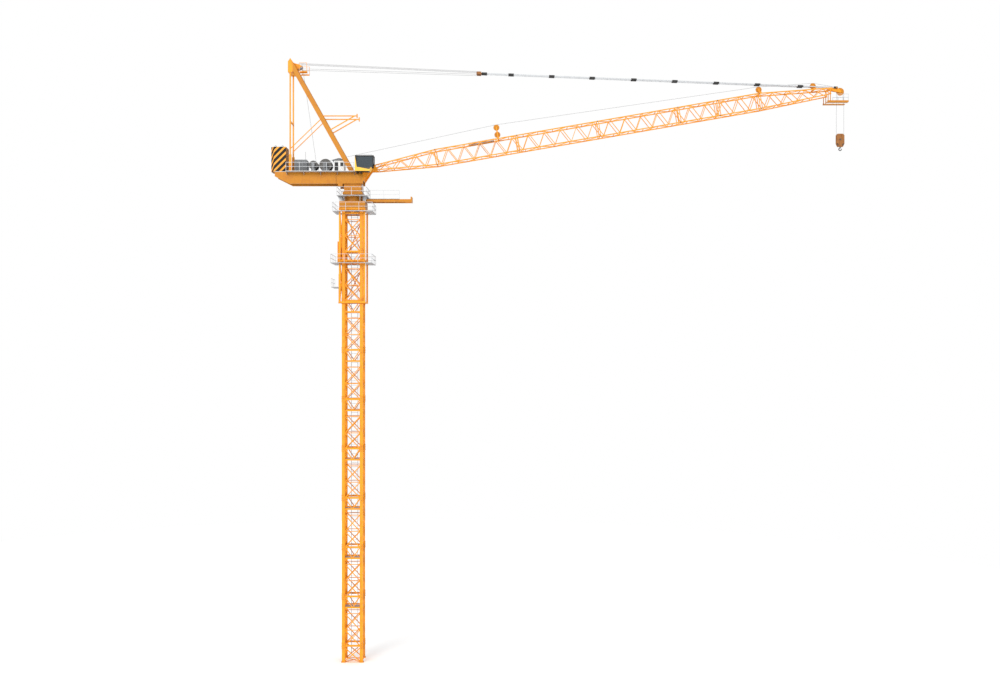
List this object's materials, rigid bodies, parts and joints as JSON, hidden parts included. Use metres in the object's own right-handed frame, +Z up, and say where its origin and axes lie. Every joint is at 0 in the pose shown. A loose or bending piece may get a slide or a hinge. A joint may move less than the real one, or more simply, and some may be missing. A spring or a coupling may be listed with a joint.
{
  "type": "luffing jib tower crane, 1:2 scale model",
  "caption": "Tower crane with a laced mast, climbing frame, slewing top, A-frame, luffing jib on a pendant line, and a hook block on falls.",
  "frame": {"origin": "on the slewing axis at the underside of the foundation frame", "axes": "+Z up along the mast, +X from the mast towards the jib head and hook, +Y to the far side"},
  "size_m": [35.18, 2.58, 36.75],
  "materials": {
    "orange_paint": "satin paint",
    "galvanised": "galvanised",
    "dark_steel": "dull",
    "wire_rope": "laid wire",
    "glass": "tinted",
    "cab_yellow": "gloss paint",
    "machine_grey": "paint",
    "sheave_steel": "cast",
    "block_paint": "worn paint",
    "slab_paint": "painted steel and concrete"
  },
  "bodies": {
    "root": {"foundation_frame": "orange_paint", "mast_legs": "orange_paint", "mast_front_and_back_lattice": "orange_paint", "mast_left_and_right_lattice": "orange_paint", "mast_landings": "galvanised", "mast_ladder": "galvanised", "climbing_frame_posts": "orange_paint", "climbing_frame_bars": "orange_paint", "climbing_platforms": "galvanised", "tower_railings": "galvanised", "hydraulic_unit": "machine_grey", "crane_seat": "orange_paint", "lower_slewing_ring": "sheave_steel", "slewing_platform": "galvanised", "introduction_beam": "orange_paint", "introduction_walkway": "galvanised"},
    "upper": {"turret": "orange_paint", "main_girders": "orange_paint", "deck": "orange_paint", "side_walkways": "galvanised", "deck_railings": "orange_paint", "cab_frame": "cab_yellow", "cab_glass": "glass", "counterweight_slabs": "slab_paint", "a_frame_legs": "orange_paint", "a_frame_ties": "orange_paint", "a_frame_braces": "orange_paint", "a_frame_head": "orange_paint", "a_frame_platform": "galvanised", "backstops": "orange_paint", "machinery_cabinets": "machine_grey", "winch_frames": "machine_grey", "jib_foot_bracket": "orange_paint", "luffing_lead": "wire_rope"},
    "luffing_drum": {"luffing_drum": "wire_rope"},
    "hoist_drum": {"hoist_drum": "wire_rope"},
    "luffing_sheaves": {"luffing_sheaves": "sheave_steel"},
    "jib": {"jib_side_trusses": "orange_paint", "jib_top_lacing": "orange_paint", "jib_bottom_lacing": "orange_paint", "jib_head": "orange_paint", "guide_stands": "orange_paint", "jib_walkway": "galvanised", "jib_head_platform": "galvanised", "jib_rope": "wire_rope"},
    "upper_guide_sheave": {"upper_guide_sheave": "sheave_steel"},
    "lower_guide_sheave": {"lower_guide_sheave": "sheave_steel"},
    "tip_guide_sheave": {"tip_guide_sheave": "sheave_steel"},
    "head_guide_sheave": {"head_guide_sheave": "sheave_steel"},
    "head_sheave": {"head_sheave": "sheave_steel"},
    "pendant": {"pendant_bars": "galvanised", "pendant_links": "sheave_steel", "pendant_block": "sheave_steel"},
    "luffing_ropes": {"luffing_ropes": "wire_rope"},
    "hoist_lead": {"hoist_lead": "wire_rope"},
    "hoist_line": {"hoist_falls": "wire_rope"},
    "hook_block": {"hook_block": "block_paint"},
    "hook_sheave": {"hook_sheave": "sheave_steel"},
    "hook": {"hook": "dark_steel"}
  },
  "joints": [
    {"name": "slew", "type": "hinge", "parent": "root", "child": "upper", "pos_m": [0, 0, 28.17], "axis": [0, 0, 1], "continuous": true},
    {"name": "luff", "type": "hinge", "parent": "upper", "child": "jib", "pos_m": [1.067, 0, 30.06], "axis": [0, -1, 0], "range_deg": [0, 70]},
    {"name": "pendant_swing", "type": "hinge", "parent": "jib", "child": "pendant", "pos_m": [29.57169, 0, 35.06095], "axis": [0, -1, 0], "range_deg": [-5, 5]},
    {"name": "luffing_rope_swing", "type": "hinge", "parent": "upper", "child": "luffing_ropes", "pos_m": [-3.3, 0, 36.36], "axis": [0, -1, 0], "range_deg": [0, 75], "deforming": ["luffing_ropes"]},
    {"name": "hoist_lead_swing", "type": "hinge", "parent": "upper", "child": "hoist_lead", "pos_m": [-1.68, 0, 30.29], "axis": [0, -1, 0], "range_deg": [0, 65], "deforming": ["hoist_lead"]},
    {"name": "hoist_line_swing", "type": "hinge", "parent": "jib", "child": "hoist_line", "pos_m": [29.82474, 0, 34.83081], "axis": [0, -1, 0], "range_deg": [-75, 0]},
    {"name": "hoist", "type": "slide", "parent": "hoist_line", "child": "hook_block", "axis": [0, 0, -1], "range_m": [0, 30], "deforming": ["hoist_falls"]},
    {"name": "hook_swivel", "type": "hinge", "parent": "hook_block", "child": "hook", "pos_m": [29.82474, 0, 31.5], "axis": [0, 0, 1], "continuous": true},
    {"name": "hook_sheave_spin", "type": "hinge", "parent": "hook_block", "child": "hook_sheave", "pos_m": [29.82474, 0, 31.9], "axis": [0, -1, 0], "continuous": true},
    {"name": "head_sheave_spin", "type": "hinge", "parent": "jib", "child": "head_sheave", "pos_m": [29.82474, 0, 34.83081], "axis": [0, -1, 0], "continuous": true},
    {"name": "upper_guide_spin", "type": "hinge", "parent": "jib", "child": "upper_guide_sheave", "pos_m": [8.7538, 0, 32.63047], "axis": [0, -1, 0], "continuous": true},
    {"name": "lower_guide_spin", "type": "hinge", "parent": "jib", "child": "lower_guide_sheave", "pos_m": [8.81588, 0, 32.19061], "axis": [0, -1, 0], "continuous": true},
    {"name": "tip_guide_spin", "type": "hinge", "parent": "jib", "child": "tip_guide_sheave", "pos_m": [24.83088, 0, 34.95013], "axis": [0, -1, 0], "continuous": true},
    {"name": "head_guide_spin", "type": "hinge", "parent": "jib", "child": "head_guide_sheave", "pos_m": [28.152, 0, 35.17095], "axis": [0, -1, 0], "continuous": true},
    {"name": "hoist_drum_spin", "type": "hinge", "parent": "upper", "child": "hoist_drum", "pos_m": [-1.68, 0, 30.29], "axis": [0, -1, 0], "continuous": true},
    {"name": "luffing_drum_spin", "type": "hinge", "parent": "upper", "child": "luffing_drum", "pos_m": [-2.42, 0, 30.29], "axis": [0, -1, 0], "continuous": true},
    {"name": "luffing_sheaves_spin", "type": "hinge", "parent": "upper", "child": "luffing_sheaves", "pos_m": [-3.3, 0, 36.36], "axis": [0, -1, 0], "continuous": true}
  ],
  "couplings": [
    {"joint": "pendant_swing", "follows": "luff", "ratio": -0.01038},
    {"joint": "luffing_rope_swing", "follows": "luff", "ratio": 0.98962},
    {"joint": "hoist_lead_swing", "follows": "luff", "ratio": 0.80878},
    {"joint": "hoist_line_swing", "follows": "luff", "ratio": -1},
    {"joint": "luffing_sheaves_spin", "follows": "luff", "ratio": 44.257},
    {"joint": "luffing_drum_spin", "follows": "luff", "ratio": 228.31},
    {"joint": "hook_sheave_spin", "follows": "hoist", "rad_per_m": -4.3956},
    {"joint": "head_sheave_spin", "follows": "hoist", "rad_per_m": -8.7912},
    {"joint": "upper_guide_spin", "follows": "hoist", "rad_per_m": -11.331},
    {"joint": "lower_guide_spin", "follows": "hoist", "rad_per_m": -11.331},
    {"joint": "tip_guide_spin", "follows": "hoist", "rad_per_m": -11.331},
    {"joint": "head_guide_spin", "follows": "hoist", "rad_per_m": -11.331},
    {"joint": "hoist_drum_spin", "follows": "hoist", "rad_per_m": -7.4766}
  ]
}
